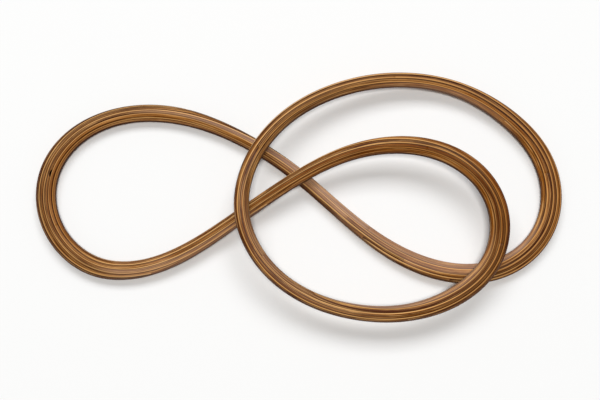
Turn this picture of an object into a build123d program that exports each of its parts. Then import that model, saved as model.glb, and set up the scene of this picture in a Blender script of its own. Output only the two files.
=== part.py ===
from build123d import *
import os

import numpy as np

# A closed loop of bent and glued wood strips that crosses over itself four times.
# The strips are wound like a coil of about three turns: each seam enters the section at one
# side, works across it turn by turn and leaves at the other side. Short filler strips thicken
# the loop where its curve is tightest. The frame is +Z up, with the origin in the middle of
# the bounding box, on the surface that the loop rests on.

# Driving dimensions, in millimetres and degrees.
SECTION_HEIGHT = 15.0        # height of the rounded section
SECTION_POWER = 2.6          # 2 would be an oval, larger is squarer
GLUE_LINE = 0.12             # gap that the glue fills between two strips
ROUND_START = 1.2            # most that a side strip's rounding starts inside the edge
STATIONS_PER_POINT = 4       # section planes from one route point to the next
ARC_STEPS = 4                # straight edges across the top and the bottom of a strip
JUST_INSIDE = 0.001          # route points inside a run's end, where its end plane is shaped
ORIGIN = (0.67, 0.85, -0.07)    # the box's bottom centre, on the route's own axes

# The centre line, one point after another, with the section at each point:
# x, y, z of the centre, width, and lean (positive tilts the top to the right of travel).
ROUTE = [
    (103, 128.5, 20, 15.6, 0),
    (40, 114.1, 27, 15.6, 0),
    (-16, 79, 34, 15.5, 0),
    (-50, 30, 38.5, 15.6, 0),
    (-58, -23, 40.5, 15.7, 0),
    (-39, -70, 37.5, 15.4, 0),
    (1, -105, 32.5, 15.3, 0),
    (55, -123.7, 29, 16.0, 0),
    (111, -124.9, 27.5, 17.6, 0),
    (165.3, -105.5, 27, 20.2, 0),
    (199, -72.3, 29, 20.8, 0),
    (209, -33, 34, 21.1, 0),
    (195.8, 7.5, 39, 21.2, 0),
    (160, 38.4, 40, 20.5, 0),
    (111, 51.3, 36.5, 18.6, 0),
    (48.3, 42.2, 30.5, 16.1, 0),
    (-10.7, 12.6, 23.5, 14.5, 0),
    (-67, -25, 15, 15.0, 0),
    (-120, -59, 10.5, 16.9, 0),
    (-169, -76, 8.5, 18.6, 0),
    (-211, -73, 7.5, 20.6, 0),
    (-245, -50, 7.5, 21.3, 0),
    (-265, -12, 7.5, 21.3, 0),
    (-263, 33, 7.8, 21.0, 0),
    (-239, 68, 8, 19.8, 0),
    (-198, 90, 7.8, 18.4, 0),
    (-133, 93, 7.5, 17.9, 0),
    (-69, 71, 8, 15.0, -4),
    (-4, 29, 8, 14.4, -10),
    (48, -17, 8, 14.6, -12),
    (97, -55, 8, 17.8, -12),
    (150, -77.3, 8, 20.2, -10),
    (196.2, -78.8, 7.8, 21.0, -5),
    (236.8, -60, 7.5, 21.7, 0),
    (260.1, -30.5, 7.5, 22.0, 0),
    (268.2, 6, 8, 22.0, 0),
    (258.5, 47.7, 8.5, 21.2, 0),
    (224.2, 89.2, 11, 19.2, 0),
    (169.2, 120.6, 14.5, 15.9, 0),
]
TURN = len(ROUTE)            # route points in one turn of the loop

# Seams, as (route point, offset to the right of travel). The count of route points runs on
# from one turn to the next, so the coil seam is a single line of a little over two turns.
COIL_SEAM = [
    (6.5, -6.5), (7, -5.6), (8, -4.4), (10, -4.2), (11, -5.2), (12.5, -6.0), (14, -5.0),
    (16, -3.4), (18, -1.9), (20, 0.5), (22, 3.0), (23.5, 3.6), (25, 2.4), (27, 1.4),
    (28, 0.6), (29, 0.4), (30, -0.6), (31, -1.9), (32, -3.4), (33, -5.0), (35, -6.0),
    (37, -5.3), (39, -4.5), (41, -4.0), (43, -2.2), (45, -1.2), (47, 0.5), (49, 1.2),
    (51, -0.6), (53, 0.0), (55, 1.4), (57, 3.0), (59, 4.9), (61, 7.2), (62.5, 7.6),
    (64, 6.6), (66, 5.4), (68, 4.8), (69, 4.6), (70, 4.2), (71, 2.8), (72, 1.3),
    (74, 0.4), (76, -0.1), (78, -0.1), (80, 1.1), (82, 3.4), (84, 4.6), (86, 5.8),
    (88, 5.9), (90, 4.0), (91, 3.7), (92, 4.6), (93, 5.7), (94, 6.1),
]
LOBE_INNER_SEAM = [
    (16.75, -6.4), (18, -6.1), (19, -5.2), (20, -4.0), (22, -2.2), (23.3, -1.4),
    (25, -1.9), (26, -2.4), (27, -3.6), (28, -6.1),
]
LOBE_OUTER_SEAM = [(19, -8.2), (20, -8.3), (22, -7.1), (23.5, -6.2), (25, -7.0), (26, -8.0)]
RING_INNER_SEAM = [
    (29.75, 7.45), (30, 7.6), (31, 7.7), (32, 6.9), (33, 5.9), (35, 4.8), (36, 4.4),
    (37, 4.8), (38, 4.8), (39, 4.6), (41, 5.7), (42, 7.2),
]
RING_OUTER_SEAM = [(31.5, 9.2), (33, 8.9), (35, 8.6), (36, 8.5), (37, 8.6)]

# Places along the coil, in route points, where one length of strip meets the next.
COIL_JOINTS = [
    6.5, 14.5, 22.9, 29.5, 37, 44, 52.5, 60.5, 68.1, 74.5, 80.7, 88.5, 96, 102, 108.3,
    117, 125, 133,
]


def periodic_spline(points):
    """Closed cubic spline through the points, spaced by the straight distance between them."""
    rows = np.array(points, float)
    ahead = np.roll(rows, -1, axis=0)
    steps = np.linalg.norm((ahead - rows)[:, :3], axis=1)
    places = np.concatenate([[0.0], np.cumsum(steps)])
    count = len(rows)
    slopes = (ahead - rows) / steps[:, None]
    matrix = np.zeros((count, count))
    for i in range(count):
        before, after = steps[i - 1], steps[i]
        matrix[i, i - 1] = after
        matrix[i, i] = 2 * (before + after)
        matrix[i, (i + 1) % count] = before
    right = 3 * (np.roll(steps, 1)[:, None] * slopes + steps[:, None] * np.roll(slopes, 1, axis=0))
    tangents = np.linalg.solve(matrix, right)

    def value(position):
        i = int(np.floor(position)) % count
        part = position - np.floor(position)
        return hermite(part, rows[i], ahead[i], tangents[i] * steps[i],
                       tangents[(i + 1) % count] * steps[i])

    return value


def hermite(part, start, end, start_slope, end_slope):
    """Cubic from start to end; part runs from 0 to 1."""
    blend = part * part * (3 - 2 * part)
    value = start + (end - start) * blend
    value = value + start_slope * part * (1 - part) ** 2
    return value - end_slope * part * part * (1 - part)


def seam_offset(seam, position):
    """Offset of a seam at a route position, on a smooth line through its points."""
    places = [place for place, offset in seam]
    i = int(np.clip(np.searchsorted(places, position, side="right") - 1, 0, len(seam) - 2))

    def slope(j):
        low, high = seam[max(j - 1, 0)], seam[min(j + 1, len(seam) - 1)]
        return (high[1] - low[1]) / (high[0] - low[0])

    (start, start_offset), (end, end_offset) = seam[i], seam[i + 1]
    span = end - start
    part = (position - start) / span
    return hermite(part, start_offset, end_offset, slope(i) * span, slope(i + 1) * span)


def covers(seam, position):
    return seam[0][0] <= position <= seam[-1][0]


centre_line = periodic_spline(ROUTE)


def station(position):
    """Centre, right-hand and up directions, and half width, at a route position."""
    here = centre_line(position)
    tangent = centre_line(position + 0.01)[:3] - centre_line(position - 0.01)[:3]
    tangent = tangent / np.linalg.norm(tangent)
    right = np.cross(tangent, (0, 0, 1))
    right = right / np.linalg.norm(right)
    up = np.cross(right, tangent)
    lean = np.radians(here[4])
    leaning_up = up * np.cos(lean) + right * np.sin(lean)
    leaning_right = right * np.cos(lean) - up * np.sin(lean)
    return here[:3] - np.array(ORIGIN), leaning_right, leaning_up, here[3] / 2


def rounded(offset, across, along):
    """Distance from the middle to the rounded outline, at an offset along the other axis."""
    ratio = min(1.0, abs(offset) / across)
    return along * (1 - ratio ** SECTION_POWER) ** (1 / SECTION_POWER)


def band_outline(left, right, half_width):
    """Outline of the part of the section between two offsets, as (offset, height) points."""
    half_height = SECTION_HEIGHT / 2
    rounding = min(ROUND_START, 0.4 * (right - left))
    top_left = max(left, rounding - half_width)
    top_right = min(right, half_width - rounding)
    top = [(u, rounded(u, half_width, half_height))
           for u in np.linspace(top_right, top_left, ARC_STEPS + 1)]
    left_side = []
    right_side = []
    for share in (0.6, 0.0, -0.6):
        v = share * top[-1][1]
        left_side.append((max(left, -rounded(v, half_height, half_width)), v))
        v = share * top[0][1]
        right_side.append((min(right, rounded(v, half_height, half_width)), v))
    bottom = [(u, -v) for u, v in reversed(top)]
    return top + left_side + bottom + list(reversed(right_side))


def strip_edges(position, half_width, left_seams, right_seams):
    """Left and right offsets of a strip: at a seam if one is there, or at the loop's edge."""
    left, right = -half_width, half_width
    for seam, turns_back in left_seams:
        if covers(seam, position - turns_back * TURN):
            left = seam_offset(seam, position - turns_back * TURN) + GLUE_LINE / 2
            break
    for seam, turns_back in right_seams:
        if covers(seam, position - turns_back * TURN):
            right = seam_offset(seam, position - turns_back * TURN) - GLUE_LINE / 2
            break
    return left, right


def shoulders(start, end, seams):
    """Places inside a strip where a seam beside it starts or ends, so that its width steps."""
    places = [seam[k][0] + turns_on * TURN for seam, turns_on in seams for k in (0, -1)]
    return sorted(place for place in places if start < place < end)


def run(start, end, left_seams, right_seams):
    """A stretch of wood with no step in its width, lofted through planes along the route."""
    first = int(np.floor(start * STATIONS_PER_POINT)) + 1
    last = int(np.ceil(end * STATIONS_PER_POINT))
    between = [i / STATIONS_PER_POINT for i in range(first, last)]
    between = [p for p in between if min(p - start, end - p) > 0.4 / STATIONS_PER_POINT]
    wires = []
    for position in [start] + between + [end]:
        centre, side, up, half_width = station(position)
        own_side = min(max(position, start + JUST_INSIDE), end - JUST_INSIDE)
        left, right = strip_edges(own_side, half_width, left_seams, right_seams)
        corners = [Vector(*(centre + side * u + up * v))
                   for u, v in band_outline(left, right, half_width)]
        wires.append(Wire.make_polygon(corners, close=True))
    return Solid.make_loft(wires)


def strip(start, end, left_seams, right_seams):
    """One length of wood from start to end, its runs joined at flat shoulders into one solid."""
    ends = [start] + shoulders(start, end, left_seams + right_seams) + [end]
    runs = [run(low, high, left_seams, right_seams) for low, high in zip(ends, ends[1:])]
    whole = runs[0]
    for next_run in runs[1:]:
        whole = whole + next_run
    return whole


def coil_strips():
    """The lengths of the coil, named in order along it."""
    left_seams = [(COIL_SEAM, 1), (LOBE_INNER_SEAM, 0)]
    right_seams = [(COIL_SEAM, 0), (RING_INNER_SEAM, 2)]
    lengths = {}
    for number, (start, end) in enumerate(zip(COIL_JOINTS, COIL_JOINTS[1:]), start=1):
        lengths[f"coil_strip_{number:02d}"] = strip(start, end, left_seams, right_seams)
    return lengths


def filler_strips():
    """The tapered strips that thicken the left lobe and the right side of the ring."""
    lobe_inner = (LOBE_INNER_SEAM[0][0], LOBE_INNER_SEAM[-1][0])
    lobe_outer = (LOBE_OUTER_SEAM[0][0], LOBE_OUTER_SEAM[-1][0])
    ring_inner = (RING_INNER_SEAM[0][0], RING_INNER_SEAM[-1][0])
    ring_outer = (RING_OUTER_SEAM[0][0], RING_OUTER_SEAM[-1][0])
    return {
        "lobe_inner_filler": strip(*lobe_inner, [(LOBE_OUTER_SEAM, 0)], [(LOBE_INNER_SEAM, 0)]),
        "lobe_outer_filler": strip(*lobe_outer, [], [(LOBE_OUTER_SEAM, 0)]),
        "ring_inner_filler": strip(*ring_inner, [(RING_INNER_SEAM, 0)], [(RING_OUTER_SEAM, 0)]),
        "ring_outer_filler": strip(*ring_outer, [(RING_OUTER_SEAM, 0)], []),
    }


os.makedirs("parts", exist_ok=True)
for name, shape in {**coil_strips(), **filler_strips()}.items():
    shape.label = name
    export_step(shape, f"parts/{name}.step")
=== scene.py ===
import math

import bpy
import numpy as np
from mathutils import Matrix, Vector


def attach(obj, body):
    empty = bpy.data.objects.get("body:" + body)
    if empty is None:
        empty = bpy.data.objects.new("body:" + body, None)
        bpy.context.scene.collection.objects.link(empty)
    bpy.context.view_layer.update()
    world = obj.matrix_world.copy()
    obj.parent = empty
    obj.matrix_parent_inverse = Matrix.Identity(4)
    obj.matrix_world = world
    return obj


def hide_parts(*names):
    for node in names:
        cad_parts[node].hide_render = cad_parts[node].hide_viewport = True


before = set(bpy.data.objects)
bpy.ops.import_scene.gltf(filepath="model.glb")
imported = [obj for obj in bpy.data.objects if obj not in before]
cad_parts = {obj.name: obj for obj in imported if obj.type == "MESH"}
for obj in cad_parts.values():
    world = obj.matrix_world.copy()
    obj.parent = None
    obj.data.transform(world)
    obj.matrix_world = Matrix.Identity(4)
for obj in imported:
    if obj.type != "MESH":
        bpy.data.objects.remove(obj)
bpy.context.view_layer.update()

# A closed loop of bent and glued wood strips. The route, the seams and the joints are in
# millimetres and degrees, on the route's own axes. ORIGIN moves them onto the frame's, and MM
# turns lengths into metres.
MM = 0.001
SECTION_HEIGHT = 15.0
SECTION_POWER = 2.6              # 2 would be an oval section, larger is squarer
ORIGIN = (0.67, 0.85, -0.07)     # the frame's origin on the route's axes

# Fine shape that the frame leaves out, in millimetres.
PITCH = 2.8                      # from one section to the next along a strip
FINE_PITCH = 0.6                 # the same beside the open gap
SHORTEST_STEP = 0.02             # route points, least from the last section but one to the last
SLOPE_STEP = 0.01                # route points over which the route's direction is taken
GLUE_LINE = 0.06                 # gap between two strips below their eased arrises
ARRIS = 0.30                     # how far an arris beside a seam is eased
CROWN = 0.08                     # how far the top of a strip stands above its arrises
CROWN_REACH = 2.0                # from a seam to where the crown is full
FULL_SHAPE_WIDTH = 3.0           # a narrower strip has less crown and less easing
END_CHAMFER = 0.08
THINNEST_HALF = 0.05             # least half size that an end's chamfer is worked out from
END_GAP = 0.02                   # from a strip's end to the plane where two lengths meet
FEATHER = 0.5                    # route points over which a seam runs out past its last point
RUN_OUT = 1.6                    # how far it runs out by the end of the feather
WALK_STEP = 0.01                 # route points, step when looking for a feather's end
TIP_WIDTH = 0.15                 # width of a feathered end
ARC_STEPS = 18                   # straight edges across the top of a section
SIDE_SHARES = (0.96, 0.8, 0.45, 0.0, -0.45, -0.8, -0.96)    # heights of the points on a side
NO_SEAM = 50.0                   # distance that stands for a side with no seam
MEAN_STEP = 54.0                 # mean distance between route points
EDGE_HEIGHT = 0.28               # share of the half height where a rounded side begins

# The small open gap on the left lobe, where a glue line has parted.
VOID_PLACE = 22.87
VOID_HALF_LENGTH = 4.6
VOID_WIDTH = 1.9
VOID_DEPTH = 9.0

# x, y, z of the centre, width of the section, and lean.
ROUTE = [
    (103, 128.5, 20, 15.6, 0),
    (40, 114.1, 27, 15.6, 0),
    (-16, 79, 34, 15.5, 0),
    (-50, 30, 38.5, 15.6, 0),
    (-58, -23, 40.5, 15.7, 0),
    (-39, -70, 37.5, 15.4, 0),
    (1, -105, 32.5, 15.3, 0),
    (55, -123.7, 29, 16.0, 0),
    (111, -124.9, 27.5, 17.6, 0),
    (165.3, -105.5, 27, 20.2, 0),
    (199, -72.3, 29, 20.8, 0),
    (209, -33, 34, 21.1, 0),
    (195.8, 7.5, 39, 21.2, 0),
    (160, 38.4, 40, 20.5, 0),
    (111, 51.3, 36.5, 18.6, 0),
    (48.3, 42.2, 30.5, 16.1, 0),
    (-10.7, 12.6, 23.5, 14.5, 0),
    (-67, -25, 15, 15.0, 0),
    (-120, -59, 10.5, 16.9, 0),
    (-169, -76, 8.5, 18.6, 0),
    (-211, -73, 7.5, 20.6, 0),
    (-245, -50, 7.5, 21.3, 0),
    (-265, -12, 7.5, 21.3, 0),
    (-263, 33, 7.8, 21.0, 0),
    (-239, 68, 8, 19.8, 0),
    (-198, 90, 7.8, 18.4, 0),
    (-133, 93, 7.5, 17.9, 0),
    (-69, 71, 8, 15.0, -4),
    (-4, 29, 8, 14.4, -10),
    (48, -17, 8, 14.6, -12),
    (97, -55, 8, 17.8, -12),
    (150, -77.3, 8, 20.2, -10),
    (196.2, -78.8, 7.8, 21.0, -5),
    (236.8, -60, 7.5, 21.7, 0),
    (260.1, -30.5, 7.5, 22.0, 0),
    (268.2, 6, 8, 22.0, 0),
    (258.5, 47.7, 8.5, 21.2, 0),
    (224.2, 89.2, 11, 19.2, 0),
    (169.2, 120.6, 14.5, 15.9, 0),
]
TURN = len(ROUTE)

# Seams, as (route point, offset to the right of travel), and the joints along the coil.
COIL_SEAM = [
    (6.5, -6.5), (7, -5.6), (8, -4.4), (10, -4.2), (11, -5.2), (12.5, -6.0), (14, -5.0),
    (16, -3.4), (18, -1.9), (20, 0.5), (22, 3.0), (23.5, 3.6), (25, 2.4), (27, 1.4),
    (28, 0.6), (29, 0.4), (30, -0.6), (31, -1.9), (32, -3.4), (33, -5.0), (35, -6.0),
    (37, -5.3), (39, -4.5), (41, -4.0), (43, -2.2), (45, -1.2), (47, 0.5), (49, 1.2),
    (51, -0.6), (53, 0.0), (55, 1.4), (57, 3.0), (59, 4.9), (61, 7.2), (62.5, 7.6),
    (64, 6.6), (66, 5.4), (68, 4.8), (69, 4.6), (70, 4.2), (71, 2.8), (72, 1.3),
    (74, 0.4), (76, -0.1), (78, -0.1), (80, 1.1), (82, 3.4), (84, 4.6), (86, 5.8),
    (88, 5.9), (90, 4.0), (91, 3.7), (92, 4.6), (93, 5.7), (94, 6.1),
]
LOBE_INNER_SEAM = [
    (16.75, -6.4), (18, -6.1), (19, -5.2), (20, -4.0), (22, -2.2), (23.3, -1.4),
    (25, -1.9), (26, -2.4), (27, -3.6), (28, -6.1),
]
LOBE_OUTER_SEAM = [(19, -8.2), (20, -8.3), (22, -7.1), (23.5, -6.2), (25, -7.0), (26, -8.0)]
RING_INNER_SEAM = [
    (29.75, 7.45), (30, 7.6), (31, 7.7), (32, 6.9), (33, 5.9), (35, 4.8), (36, 4.4),
    (37, 4.8), (38, 4.8), (39, 4.6), (41, 5.7), (42, 7.2),
]
RING_OUTER_SEAM = [(31.5, 9.2), (33, 8.9), (35, 8.6), (36, 8.5), (37, 8.6)]
COIL_JOINTS = [
    6.5, 14.5, 22.9, 29.5, 37, 44, 52.5, 60.5, 68.1, 74.5, 80.7, 88.5, 96, 102, 108.3,
    117, 125, 133,
]

# Tone from place to place, as (place, tone): above 0 painted sheen makes the wood paler and greyer,
# below 0 painted shade makes it deeper; both are mixed with the wood's own changes of tone. The
# coil's places are along the coil, so two close ones are a change at a joint.
COIL_TONES_AND_SHEEN = [
    (7, 0.35), (10, 0.1), (12, -0.1), (15, -0.45), (17, 0.15), (19.5, 0.2), (21.5, -0.6),
    (23.5, -0.6), (25.5, 0.1), (28, 0.35), (29.4, 0.4), (29.6, 0.25), (33, 0.35), (35, -0.2),
    (38, 0.2), (41, -0.15), (44, 0.15), (47, -0.1), (50, -0.65), (53, -1.0), (55, -0.6),
    (57.5, 0.1), (61, -0.75), (65, -0.3), (68.0, 0.35), (68.2, 0.15), (70, 0.2), (73, -0.15),
    (76, -0.55), (78, -0.25), (80.6, -0.45), (80.8, 0.05), (84, 0.1), (86, 0.0), (89, -1.0),
    (92, -0.2), (95, 0.0), (97.5, 0.05), (99, -0.85), (102, -0.85), (103.5, -0.35), (105, -0.75),
    (107, 0.1), (108.2, 0.0), (108.4, 0.2), (111, -0.65), (114, -0.75), (119, -0.2),
    (122, -0.4), (125, -0.15), (127, -0.85), (129, -1.0), (131, -0.1),
]
FILLER_TONES_AND_SHEEN = {
    "lobe_inner_filler": [(19, 0.15), (22, -0.3), (26, 0.0)],
    "lobe_outer_filler": [(19, 0.1), (22, -0.2), (26, -0.1)],
    "ring_inner_filler": [(30, 0.05), (33, -0.5), (37, -0.5), (39, 0.1), (42, 0.0)],
    "ring_outer_filler": [(32, -0.1), (34, -0.6), (37, -0.5)],
}

# Camera and light, in millimetres and degrees.
CAMERA_ELEVATION = 76.0
CAMERA_TARGET = (2.0, -4.0, 20.0)
CAMERA_DISTANCE = 1500.0
CAMERA_LENS = 85.71
SENSOR_WIDTH = 36.0
LAMP_DISTANCE = 8.0              # metres
FLOOR_REACH = 12.0               # metres from the middle of the floor to its sides
WORLD_STRENGTH = 0.15


def hermite(part, start, end, start_slope, end_slope):
    """Cubic from start to end; part runs from 0 to 1."""
    blend = part * part * (3 - 2 * part)
    value = start + (end - start) * blend
    value = value + start_slope * part * (1 - part) ** 2
    return value - end_slope * part * part * (1 - part)


def periodic_spline(points):
    """Closed cubic spline through the points, spaced by the straight distance between them."""
    rows = np.array(points, float)
    ahead = np.roll(rows, -1, axis=0)
    steps = np.linalg.norm((ahead - rows)[:, :3], axis=1)
    count = len(rows)
    slopes = (ahead - rows) / steps[:, None]
    matrix = np.zeros((count, count))
    for i in range(count):
        before, after = steps[i - 1], steps[i]
        matrix[i, i - 1] = after
        matrix[i, i] = 2 * (before + after)
        matrix[i, (i + 1) % count] = before
    right = 3 * (np.roll(steps, 1)[:, None] * slopes + steps[:, None] * np.roll(slopes, 1, axis=0))
    tangents = np.linalg.solve(matrix, right)

    def value(position):
        i = int(np.floor(position)) % count
        part = position - np.floor(position)
        return hermite(part, rows[i], ahead[i], tangents[i] * steps[i],
                       tangents[(i + 1) % count] * steps[i])

    return value


centre_line = periodic_spline(ROUTE)


def station(position):
    """Centre, right-hand and up directions, and half width, at a route position."""
    here = centre_line(position)
    tangent = centre_line(position + SLOPE_STEP)[:3] - centre_line(position - SLOPE_STEP)[:3]
    tangent = tangent / np.linalg.norm(tangent)
    right = np.cross(tangent, (0, 0, 1))
    right = right / np.linalg.norm(right)
    up = np.cross(right, tangent)
    lean = np.radians(here[4])
    leaning_up = up * np.cos(lean) + right * np.sin(lean)
    leaning_right = right * np.cos(lean) - up * np.sin(lean)
    return here[:3] - np.array(ORIGIN), leaning_right, leaning_up, here[3] / 2


def speed_at(position):
    """Millimetres of route to one route point."""
    ahead = centre_line(position + SLOPE_STEP)[:3] - centre_line(position)[:3]
    return np.linalg.norm(ahead) / SLOPE_STEP


def seam_offset(seam, position):
    """Offset of a seam at a route position. Past either end it runs out to the loop's edge."""
    places = [place for place, offset in seam]
    i = int(np.clip(np.searchsorted(places, position, side="right") - 1, 0, len(seam) - 2))

    def slope(j):
        low, high = seam[max(j - 1, 0)], seam[min(j + 1, len(seam) - 1)]
        return (high[1] - low[1]) / (high[0] - low[0])

    for j in (0, len(seam) - 1):
        past = position - seam[j][0]
        if past < 0 and j == 0 or past > 0 and j > 0:
            outward = math.copysign(RUN_OUT, seam[j][1])
            return seam[j][1] + slope(j) * past + outward * (past / FEATHER) ** 2
    (start, start_offset), (end, end_offset) = seam[i], seam[i + 1]
    span = end - start
    part = (position - start) / span
    return hermite(part, start_offset, end_offset, slope(i) * span, slope(i + 1) * span)


def covers(seam, position):
    return seam[0][0] - FEATHER <= position <= seam[-1][0] + FEATHER


def strip_edges(position, half_width, left_seams, right_seams):
    """Left and right offsets of a strip, and whether each is a seam and not the loop's edge."""
    edges = []
    for sign, seams in ((-1, left_seams), (1, right_seams)):
        offset, at_seam = sign * half_width, False
        for seam, turns_back in seams:
            if not at_seam and covers(seam, position - turns_back * TURN):
                found = seam_offset(seam, position - turns_back * TURN)
                if abs(found) < half_width - TIP_WIDTH:
                    offset, at_seam = found - sign * GLUE_LINE / 2, True
        edges += [offset, at_seam]
    return edges


def feather_end(seam, start, step):
    """Walks from a seam's end, past it, to where the strip beside it is TIP_WIDTH wide."""
    position = start
    while abs(position - start) < FEATHER:
        if abs(seam_offset(seam, position)) > station(position)[3] - TIP_WIDTH * 2:
            break
        position += step
    return position


def eased(distance):
    """How far a surface drops beside an arris."""
    inside = np.clip(1 - distance / ARRIS, 0, 1)
    return ARRIS * (1 - np.sqrt(1 - inside ** 2))


def outline(left, right, left_seam, right_seam, half_width, opening):
    """Closed outline of a strip's section, as (offset, height) rows."""
    half_height = SECTION_HEIGHT / 2
    power = 2 / SECTION_POWER
    edge_angle = math.asin(EDGE_HEIGHT ** (1 / power))

    def angle(offset):
        share = min(1.0, abs(offset) / half_width) ** (1 / power)
        found = math.acos(share)
        return max(found, edge_angle) if offset > 0 else min(math.pi - found, math.pi - edge_angle)

    share = (1 - np.cos(np.linspace(0, math.pi, ARC_STEPS + 1))) / 2
    angles = angle(right) + share * (angle(left) - angle(right))
    cosine, sine = np.cos(angles), np.sin(angles)
    top_u = half_width * np.sign(cosine) * np.abs(cosine) ** power
    top_v = half_height * sine ** power
    from_left = top_u - left
    from_right = right - top_u
    drop = np.zeros_like(top_u)
    lift = np.ones_like(top_u)
    reach = min(CROWN_REACH, (right - left) / 2)
    if left_seam:
        drop = drop + eased(from_left)
        lift = lift * np.clip(from_left / reach, 0, 1)
    if right_seam:
        drop = drop + eased(from_right)
        lift = lift * np.clip(from_right / reach, 0, 1)
    lift = CROWN * np.sin(lift * math.pi / 2) if left_seam or right_seam else 0 * lift
    size = min(1.0, (right - left) / FULL_SHAPE_WIDTH)
    top_v = top_v + (lift - CROWN - drop) * size * (left_seam or right_seam)
    rows = [np.stack([top_u, top_v], 1)]
    for sign, bound, corner in ((-1, left, top_v[-1]), (1, right, top_v[0])):
        heights = np.array(SIDE_SHARES) * corner
        ratio = np.abs(heights) / half_height
        round_side = sign * half_width * (1 - ratio ** SECTION_POWER) ** (1 / SECTION_POWER)
        side = np.minimum(round_side, right) if sign > 0 else np.maximum(round_side, left)
        rows.append(np.stack([side, heights], 1))
    left_side, right_side = rows[1], rows[2]
    bottom = np.stack([top_u, -top_v], 1)[::-1]
    loop = np.concatenate([rows[0], left_side, bottom, right_side[::-1]])
    if opening > 0:
        depth = np.clip(1 - (half_height - loop[:, 1]) / VOID_DEPTH, 0, 1)
        near = np.clip(1 - (right - loop[:, 0]) / (right - left), 0, 1)
        loop[:, 0] -= opening * depth ** 0.5 * near
    return loop


def sections_between(start, end, fine_places):
    """Route positions of the sections of a strip, closer together near the fine places."""
    positions = [start]
    while positions[-1] < end:
        here = positions[-1]
        speed = speed_at(here)
        near = min([abs(here - place) * speed for place in fine_places], default=math.inf)
        pitch = PITCH if near > VOID_HALF_LENGTH + PITCH else FINE_PITCH
        positions.append(here + pitch / speed)
    positions[-1] = end
    if len(positions) > 2 and positions[-1] - positions[-2] < SHORTEST_STEP:
        positions.pop(-2)
    return positions


def store(mesh, name, rows):
    attribute = mesh.attributes.new(name, "FLOAT_VECTOR", "POINT")
    attribute.data.foreach_set("vector", np.ascontiguousarray(rows, np.float32).ravel())


def end_sections(is_first, is_last):
    """What is drawn at a section, as (shift along the strip, chamfer); a chamfer at each end."""
    if is_last:
        return [(-END_GAP - END_CHAMFER, 0.0), (-END_GAP, END_CHAMFER)]
    if is_first:
        return [(END_GAP, END_CHAMFER), (END_GAP + END_CHAMFER, 0.0)]
    return [(0.0, 0.0)]


def strip_mesh(name, start, end, left_seams, right_seams, tone_and_sheen_points, fine_places=()):
    """One length of wood as a closed mesh, with its grain coordinates."""
    positions = sections_between(start, end, fine_places)
    rings = []
    grain = []
    beside = []
    tones = []
    distance = start * MEAN_STEP
    previous = None
    for index, position in enumerate(positions):
        centre, side, up, half_width = station(position)
        if previous is not None:
            distance += float(np.linalg.norm(centre - previous))
        previous = centre
        edges = strip_edges(position, half_width, left_seams, right_seams)
        left, left_seam, right, right_seam = edges
        opening = 0.0
        if fine_places:
            away = abs(position - VOID_PLACE) * speed_at(position) / VOID_HALF_LENGTH
            opening = VOID_WIDTH * max(0.0, 1 - away ** 2)
        closed = outline(left, right, left_seam, right_seam, half_width, 0.0)
        loop = outline(left, right, left_seam, right_seam, half_width, opening)
        along = np.cross(up, side)
        for shift, chamfer in end_sections(index == 0, index == len(positions) - 1):
            middle = (loop.max(0) + loop.min(0)) / 2
            half = np.maximum((loop.max(0) - loop.min(0)) / 2, THINNEST_HALF)
            shrink = 1 - np.minimum(chamfer / half, 0.5)
            shown = middle + (loop - middle) * shrink
            rings.append(centre + along * shift + shown[:, :1] * side + shown[:, 1:] * up)
            grain.append(np.stack([np.full(len(loop), distance + shift),
                                   loop[:, 0] - left, loop[:, 1]], 1))
            no_seam = np.full(len(loop), NO_SEAM)
            to_left = closed[:, 0] - left if left_seam else no_seam
            to_right = right - closed[:, 0] if right_seam else no_seam
            share = np.abs(loop[:, 0]) / half_width / MM
            beside.append(np.stack([to_left, to_right, share], 1))
            tones.append(np.full(len(loop), np.interp(position, *zip(*tone_and_sheen_points))))
    count, around = len(rings), len(rings[0])
    points = np.concatenate(rings)
    faces = []
    for i in range(count - 1):
        for j in range(around):
            k = (j + 1) % around
            here, ahead = i * around, (i + 1) * around
            faces.append((here + j, here + k, ahead + k, ahead + j))
    last = (count - 1) * around
    for ring, flip in ((0, True), (last, False)):
        hub = len(points)
        points = np.concatenate([points, points[ring:ring + around].mean(0)[None]])
        grain.append(np.concatenate(grain)[ring:ring + around].mean(0)[None])
        beside.append(np.concatenate(beside)[ring:ring + around].mean(0)[None])
        tones.append([tones[0][0] if flip else tones[-1][0]])
        for j in range(around):
            k = (j + 1) % around
            faces.append((ring + k, ring + j, hub) if flip else (ring + j, ring + k, hub))
    mesh = bpy.data.meshes.new(name)
    mesh.from_pydata((points * MM).tolist(), [], faces)
    mesh.polygons.foreach_set("use_smooth", [len(face) == 4 for face in faces])
    store(mesh, "grain", np.concatenate(grain) * MM)
    store(mesh, "beside", np.concatenate(beside) * MM)
    tone = mesh.attributes.new("tone", "FLOAT", "POINT")
    tone.data.foreach_set("value", np.concatenate(tones).astype(np.float32))
    mesh.update()
    return bpy.data.objects.new(name, mesh)


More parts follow.
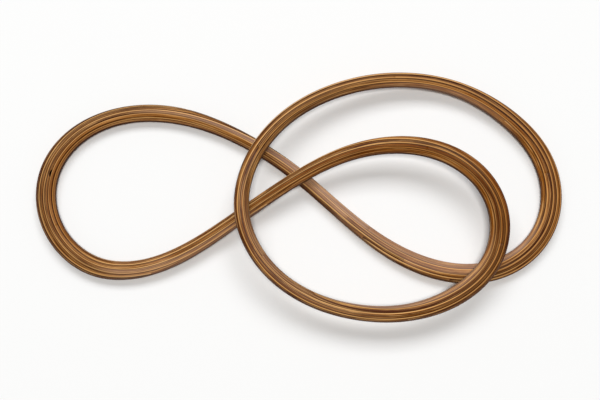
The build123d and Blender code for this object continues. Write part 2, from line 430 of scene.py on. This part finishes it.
class Nodes:
    """Adds shader nodes to a material and joins them up."""

    def __init__(self, material):
        self.tree = material.node_tree

    def add(self, kind, inputs=(), **settings):
        node = self.tree.nodes.new(kind)
        for key, value in settings.items():
            setattr(node, key, value)
        for socket, value in dict(inputs).items():
            self.feed(node.inputs[socket], value)
        return node

    def feed(self, socket, value):
        if isinstance(value, bpy.types.NodeSocket):
            self.tree.links.new(value, socket)
        else:
            socket.default_value = value

    def maths(self, operation, first, second=0.0, third=0.0):
        node = self.add("ShaderNodeMath", operation=operation)
        for socket, value in zip(node.inputs, (first, second, third)):
            self.feed(socket, value)
        return node.outputs[0]

    def ramp(self, value, low, high, to_low=0.0, to_high=1.0):
        node = self.add("ShaderNodeMapRange", interpolation_type="SMOOTHSTEP")
        for socket, number in zip(node.inputs, (value, low, high, to_low, to_high)):
            self.feed(socket, number)
        return node.outputs[0]

    def mix(self, share, first, second, blend="MIX"):
        node = self.add("ShaderNodeMix", data_type="RGBA", blend_type=blend)
        self.feed(node.inputs[0], share)
        self.feed(node.inputs[6], first)
        self.feed(node.inputs[7], second)
        return node.outputs[2]

    def noise(self, vector, scale, detail=2.0, roughness=0.5):
        stretched = self.add("ShaderNodeVectorMath", operation="MULTIPLY")
        self.feed(stretched.inputs[0], vector)
        self.feed(stretched.inputs[1], scale)
        return self.add("ShaderNodeTexNoise", {
            "Vector": stretched.outputs[0], "Scale": 1.0, "Detail": detail,
            "Roughness": roughness}).outputs["Fac"]


def colour(red, green, blue):
    """An sRGB colour in 0-255 numbers as a linear shader colour."""
    channels = [c / 255 for c in (red, green, blue)]
    linear = [c / 12.92 if c <= 0.04045 else ((c + 0.055) / 1.055) ** 2.4 for c in channels]
    return (*linear, 1.0)


def wood(name, pale, body, deep, seed):
    """Oiled bent wood: bands of early and late wood, fibres, pores, lines at the seams, painted
    shade at the loop's edge, and painted sheen and shade from place to place.
    """
    material = bpy.data.materials.new(name)
    material.use_nodes = True
    nodes = Nodes(material)
    shader = material.node_tree.nodes["Principled BSDF"]
    grain = nodes.add("ShaderNodeAttribute", attribute_name="grain").outputs["Vector"]
    beside = nodes.add("ShaderNodeAttribute", attribute_name="beside").outputs["Vector"]
    # The tone attribute carries the wood's own tone changes together with painted sheen and painted
    # shade.
    tone_and_sheen_level = nodes.add("ShaderNodeAttribute", attribute_name="tone").outputs["Fac"]
    split = nodes.add("ShaderNodeSeparateXYZ", {"Vector": beside})
    to_left, to_right, share = split.outputs[0], split.outputs[1], split.outputs[2]

    shifted = nodes.add("ShaderNodeVectorMath", operation="ADD")
    nodes.feed(shifted.inputs[0], grain)
    nodes.feed(shifted.inputs[1], (seed, seed * 0.37, seed * 0.71))
    place = shifted.outputs[0]

    # Numbers in brackets are how many ripples a metre holds along, across and through the wood.
    bands = nodes.ramp(nodes.noise(place, (2.0, 420.0, 200.0), 2.0, 0.6), 0.42, 0.58)
    pale_lines = nodes.ramp(nodes.noise(place, (1.6, 820.0, 300.0), 1.0), 0.56, 0.64)
    dark_lines = nodes.ramp(nodes.noise(place, (2.2, 760.0, 380.0), 1.0), 0.42, 0.32)
    broad = nodes.ramp(nodes.noise(place, (7.0, 120.0, 60.0), 2.0), 0.35, 0.7)
    threads = nodes.noise(place, (20.0, 1150.0, 500.0), 3.0, 0.65)
    fibre = nodes.noise(place, (70.0, 2600.0, 2600.0), 3.0, 0.6)
    pores = nodes.ramp(nodes.noise(place, (150.0, 4200.0, 3000.0), 1.0), 0.62, 0.72)
    fade = nodes.ramp(nodes.noise(place, (11.0, 3.0, 3.0), 1.0), 0.3, 0.6, 0.55, 1.0)

    tone = nodes.mix(bands, deep, body)
    tone = nodes.mix(nodes.maths("MULTIPLY", broad, 0.18), tone, pale)
    tone = nodes.mix(nodes.ramp(threads, 0.52, 0.64, 0.0, 0.6), tone, pale)
    tone = nodes.mix(nodes.ramp(threads, 0.49, 0.36, 0.0, 0.9), tone, deep)
    tone = nodes.mix(nodes.maths("MULTIPLY", pale_lines, 0.42), tone, pale)
    tone = nodes.mix(nodes.maths("MULTIPLY", dark_lines, 0.55), tone, deep)
    tone = nodes.mix(nodes.maths("MULTIPLY", pores, 0.45), tone, deep)
    # Deeper towards the right-hand seam, with a bright line at the left seam, a dark one at the
    # right seam and the glue itself in each. Distances to a seam are in metres.
    tone = nodes.mix(nodes.ramp(to_right, 0.0008, 0.0040, 0.30, 0.0), tone, deep)
    bright = nodes.maths("MULTIPLY", nodes.ramp(to_left, 0.0005, 0.0013, 0.85, 0.0), fade)
    tone = nodes.mix(bright, tone, pale)
    dark = nodes.maths("MULTIPLY", nodes.ramp(to_right, 0.0003, 0.0012, 0.75, 0.0), fade)
    tone = nodes.mix(dark, tone, SEAM_BROWN)
    glue = nodes.maths("MAXIMUM", nodes.ramp(to_left, 0.0, 0.0002, 0.9, 0.0),
                       nodes.ramp(to_right, 0.0, 0.0003, 0.9, 0.0))
    tone = nodes.mix(glue, tone, SEAM_BROWN)
    # Painted shade at the loop's rounded edge: darker there, and duller.
    edge_shade = nodes.ramp(share, 0.94, 0.995, 0.0, 0.85)
    tone = nodes.mix(edge_shade, tone, EDGE_SHADE_BROWN)
    # Painted sheen where the tone is above 0 and painted shade where it is below 0, mixed with the
    # wood's own changes of tone.
    tone = nodes.mix(nodes.maths("MAXIMUM", tone_and_sheen_level, 0.0), tone, PALE_TONE_AND_SHEEN)
    deepened_and_shaded = nodes.mix(1.0, tone, DEEP_TONE_AND_SHADE, "MULTIPLY")
    depth = nodes.maths("MAXIMUM", nodes.maths("MULTIPLY", tone_and_sheen_level, -1.0), 0.0)
    tone = nodes.mix(depth, tone, deepened_and_shaded)
    nodes.feed(shader.inputs["Base Color"], tone)

    rough = nodes.ramp(fibre, 0.3, 0.8, 0.36, 0.52)
    rough = nodes.maths("ADD", rough, nodes.maths("MULTIPLY", edge_shade, 0.4))
    nodes.feed(shader.inputs["Roughness"], rough)
    height = nodes.maths("MULTIPLY", fibre, 0.6)
    height = nodes.maths("ADD", height, nodes.maths("MULTIPLY", bands, 0.5))
    height = nodes.maths("SUBTRACT", height, nodes.maths("MULTIPLY", pores, 0.5))
    bump = nodes.add("ShaderNodeBump", {"Strength": 0.35, "Distance": 0.00025, "Height": height})
    nodes.feed(shader.inputs["Normal"], bump.outputs[0])
    shader.inputs["IOR"].default_value = 1.45
    shader.inputs["Specular IOR Level"].default_value = 0.14
    return material


SEAM_BROWN = colour(56, 24, 4)
# Painted shade for the loop's rounded edges, which turn away from the light.
EDGE_SHADE_BROWN = colour(72, 38, 10)
# Painted sheen, pale and greyish pink, and painted shade that deepens the wood; both also carry the
# wood's own changes of tone.
PALE_TONE_AND_SHEEN = colour(208, 168, 146)
DEEP_TONE_AND_SHADE = (0.52, 0.37, 0.20, 1.0)
WOODS = {
    "light_wood": wood("light_wood", colour(238, 185, 118), colour(153, 90, 12),
                       colour(74, 31, 0), 1.7),
    "mid_wood": wood("mid_wood", colour(234, 181, 114), colour(147, 83, 6),
                     colour(64, 25, 0), 4.1),
    "dark_wood": wood("dark_wood", colour(226, 169, 100), colour(133, 71, 3),
                      colour(54, 19, 0), 7.3),
}
# The lighter and the darker strips. All the others are mid_wood.
LIGHT_STRIPS = {"coil_strip_04", "coil_strip_05", "coil_strip_06", "coil_strip_07", "coil_strip_08",
                "coil_strip_15", "coil_strip_16", "coil_strip_17", "lobe_outer_filler",
                "ring_inner_filler"}
DARK_STRIPS = {"coil_strip_09", "coil_strip_10", "ring_outer_filler"}


def slot_of(name):
    if name in LIGHT_STRIPS:
        return "light_wood"
    return "dark_wood" if name in DARK_STRIPS else "mid_wood"


def place_strip(name, start, end, left_seams, right_seams, tone_and_sheen_points, fine_places=()):
    """Makes a strip, gives it its wood, and stands it in for the frame's own node."""
    piece = strip_mesh(name + "_wood", start, end, left_seams, right_seams, tone_and_sheen_points,
                       fine_places)
    bpy.context.scene.collection.objects.link(piece)
    slot = slot_of(name)
    piece.data.materials.append(WOODS[slot])
    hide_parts(name)
    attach(piece, "root")


coil_left = [(COIL_SEAM, 1), (LOBE_INNER_SEAM, 0)]
coil_right = [(COIL_SEAM, 0), (RING_INNER_SEAM, 2)]
joints = list(COIL_JOINTS)
joints[0] = feather_end(COIL_SEAM, COIL_SEAM[0][0], -WALK_STEP)
joints[-1] = feather_end(COIL_SEAM, COIL_SEAM[-1][0], WALK_STEP) + TURN
for number, (start, end) in enumerate(zip(joints, joints[1:]), start=1):
    fine = (VOID_PLACE,) if number in (2, 3) else ()
    place_strip(f"coil_strip_{number:02d}", start, end, coil_left, coil_right, COIL_TONES_AND_SHEEN, fine)

FILLERS = {
    "lobe_inner_filler": (LOBE_INNER_SEAM, [(LOBE_OUTER_SEAM, 0)], [(LOBE_INNER_SEAM, 0)]),
    "lobe_outer_filler": (LOBE_OUTER_SEAM, [], [(LOBE_OUTER_SEAM, 0)]),
    "ring_inner_filler": (RING_INNER_SEAM, [(RING_INNER_SEAM, 0)], [(RING_OUTER_SEAM, 0)]),
    "ring_outer_filler": (RING_OUTER_SEAM, [(RING_OUTER_SEAM, 0)], []),
}
for name, (seam, left_seams, right_seams) in FILLERS.items():
    start = feather_end(seam, seam[0][0], -WALK_STEP)
    end = feather_end(seam, seam[-1][0], WALK_STEP)
    place_strip(name, start, end, left_seams, right_seams, FILLER_TONES_AND_SHEEN[name])

# Floor.
floor_mesh = bpy.data.meshes.new("floor")
corners = [(x * FLOOR_REACH, y * FLOOR_REACH, 0) for x, y in ((-1, -1), (1, -1), (1, 1), (-1, 1))]
floor_mesh.from_pydata(corners, [], [(0, 1, 2, 3)])
floor = bpy.data.objects.new("floor", floor_mesh)
bpy.context.scene.collection.objects.link(floor)
paper = bpy.data.materials.new("paper")
paper.use_nodes = True
paper_shader = paper.node_tree.nodes["Principled BSDF"]
paper_shader.inputs["Base Color"].default_value = (0.86, 0.862, 0.868, 1)
paper_shader.inputs["Roughness"].default_value = 0.9
paper_shader.inputs["Specular IOR Level"].default_value = 0.1
floor_mesh.materials.append(paper)


def softbox(name, direction, width, depth, brightness, tint, glossy):
    """A soft rectangular lamp that faces the object; brightness is what it gives at the floor."""
    toward = Vector(direction).normalized()
    lamp = bpy.data.lights.new(name, "AREA")
    lamp.shape = "RECTANGLE"
    lamp.size = width * LAMP_DISTANCE
    lamp.size_y = depth * LAMP_DISTANCE
    lamp.color = tint
    lamp.energy = brightness * math.pi * LAMP_DISTANCE ** 2 / toward.z
    place = bpy.data.objects.new(name, lamp)
    place.location = toward * LAMP_DISTANCE
    place.rotation_mode = "QUATERNION"
    place.rotation_quaternion = toward.to_track_quat("Z", "Y")
    place.visible_glossy = glossy
    bpy.context.scene.collection.objects.link(place)


softbox("back_softbox", (-0.03, 0.62, 1.0), 1.0, 0.42, 1.84, (0.985, 0.995, 1.0), True)
softbox("top_softbox", (0.0, -0.20, 1.0), 0.20, 0.14, 1.60, (1.0, 0.985, 0.95), False)

world = bpy.data.worlds.new("studio")
world.use_nodes = True
world.node_tree.nodes["Background"].inputs["Color"].default_value = (1.0, 1.0, 1.0, 1.0)
world.node_tree.nodes["Background"].inputs["Strength"].default_value = WORLD_STRENGTH
bpy.context.scene.world = world
bpy.context.scene.view_settings.view_transform = "Standard"

camera = bpy.data.cameras.new("camera")
camera.lens = CAMERA_LENS
camera.sensor_width = SENSOR_WIDTH
holder = bpy.data.objects.new("camera", camera)
elevation = math.radians(CAMERA_ELEVATION)
back = Vector((0, -math.cos(elevation), math.sin(elevation)))
holder.location = (Vector(CAMERA_TARGET) - Vector(ORIGIN) + back * CAMERA_DISTANCE) * MM
holder.rotation_mode = "QUATERNION"
holder.rotation_quaternion = (-back).to_track_quat("-Z", "Y")
bpy.context.scene.collection.objects.link(holder)
bpy.context.scene.camera = holder
